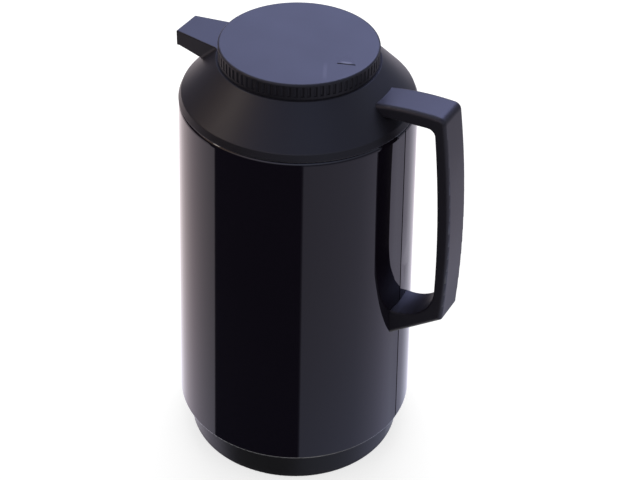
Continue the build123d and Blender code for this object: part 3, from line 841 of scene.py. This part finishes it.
# How high a direction points where one of these gives way to the next, from -1 straight down to
# 1 straight up.
STRAIGHT_TO_STEEP = (-0.92, -0.80)
STEEP_TO_LOW = (-0.74, -0.58)
LOW_TO_LEVEL = (-0.26, -0.05)
LEVEL_TO_HIGH = (0.21, 0.40)
HIGH_TO_ZENITH = (0.60, 0.76)
# Round patches: azimuth, height, inner and outer radius in degrees, and the colour.
WARM_WALL = (-146.0, 34.0, 3.0, 24.0, lit(1.0, LAMPLIGHT))
WALL_LAMP = (-146.0, 33.0, 2.0, 4.0, (12.0, 11.0, 10.5))
SIDE_LIGHT = (103.0, 44.0, 12.0, 26.0, lit(5.0, WINDOW))
SKYLIGHT = (160.0, 66.0, 28.0, 36.0, lit(1.05, CLOUD))
FRONT_SKY = (-42.0, 56.0, 6.0, 20.0, (0.42, 0.48, 0.78))


def round_patch(graph, direction, azimuth, height, inner, outer):
    """1 inside the inner radius of a round patch of the surroundings, fading to 0 at the outer one."""
    flat = cos(radians(height))
    centre = (flat * cos(radians(azimuth)), flat * sin(radians(azimuth)), sin(radians(height)))
    settings = {"operation": "DOT_PRODUCT"}
    nearness = graph.node("ShaderNodeVectorMath", settings, {0: direction, 1: centre}, output="Value")
    return nearness.between(cos(radians(outer)), cos(radians(inner)))


def add_surroundings(scene, ambient):
    """White to the camera, even light to the surfaces, and a studio with a dark flag in reflections."""
    world = bpy.data.worlds.new("studio")
    scene.world = world
    world.use_nodes = True
    graph = Graph(world.node_tree)
    direction = graph.node("ShaderNodeTexCoord", output="Generated")
    east, north, height = graph.axes(direction)
    azimuth = graph.node("ShaderNodeMath", {"operation": "ARCTAN2"}, {0: north, 1: east})
    turn = azimuth / tau + 0.5
    rings = []
    for stops in (LOW_RING, LEVEL_RING, HIGH_RING):
        rings.append(graph.node("ShaderNodeValToRGB", {"stops": stops}, {"Fac": turn}, output="Color"))
    low, level, high = rings
    steep = 1.0 - height.between(*STEEP_TO_LOW)
    settings = {"data_type": "RGBA", "blend_type": "MULTIPLY"}
    low = graph.node("ShaderNodeMix", settings, {0: steep, 6: low, 7: UNDERFOOT}, output=2)
    low = height.between(*STRAIGHT_TO_STEEP).tint(NADIR, low)
    studio = height.between(*LOW_TO_LEVEL).tint(low, level)
    studio = height.between(*LEVEL_TO_HIGH).tint(studio, high)
    studio = height.between(*HIGH_TO_ZENITH).tint(studio, ZENITH)
    for *place, colour in (WARM_WALL, WALL_LAMP, SIDE_LIGHT, SKYLIGHT, FRONT_SKY):
        studio = round_patch(graph, direction, *place).tint(studio, colour)
    camera = graph.node("ShaderNodeLightPath", output="Is Camera Ray")
    mirrored = graph.node("ShaderNodeLightPath", output="Is Glossy Ray")
    through = graph.node("ShaderNodeLightPath", output="Is Transmission Ray")
    shown = (mirrored + through).clamped().tint((ambient, ambient, ambient), studio)
    light = graph.node("ShaderNodeBackground", None, {"Color": camera.tint(shown, WHITE)})
    graph.close("ShaderNodeOutputWorld", "Surface", light)


# ---- Panel and registration ----------------------------------------------------------------------

MAKERS = (
    CARAFE_OT_stage,
    CARAFE_OT_jacket,
    CARAFE_OT_mouldings,
    CARAFE_OT_stopper,
    CARAFE_OT_flask,
    CARAFE_OT_fasteners,
)


class CARAFE_PT_panel(bpy.types.Panel):
    """Lists the carafe's operators"""

    bl_idname = "CARAFE_PT_panel"
    bl_label = "Carafe"
    bl_space_type = "VIEW_3D"
    bl_region_type = "UI"
    bl_category = "Carafe"

    def draw(self, context):
        scene = context.scene
        for group in (scene.carafe_look, scene.carafe_screws, scene.carafe_stage):
            for name in group.__annotations__:
                self.layout.prop(group, name)
        for maker in MAKERS:
            self.layout.operator(maker.bl_idname)


CLASSES = (CarafeLook, CarafeScrews, CarafeStage, *MAKERS, CARAFE_PT_panel)


def register():
    for cls in CLASSES:
        bpy.utils.register_class(cls)
    bpy.types.Scene.carafe_look = PointerProperty(type=CarafeLook)
    bpy.types.Scene.carafe_screws = PointerProperty(type=CarafeScrews)
    bpy.types.Scene.carafe_stage = PointerProperty(type=CarafeStage)


def unregister():
    del bpy.types.Scene.carafe_stage
    del bpy.types.Scene.carafe_screws
    del bpy.types.Scene.carafe_look
    for cls in reversed(CLASSES):
        bpy.utils.unregister_class(cls)


def main():
    register()
    bpy.ops.carafe.stage()
    bpy.ops.carafe.jacket()
    bpy.ops.carafe.mouldings()
    bpy.ops.carafe.stopper()
    bpy.ops.carafe.flask()
    bpy.ops.carafe.fasteners()


if __name__ == "__main__":
    main()
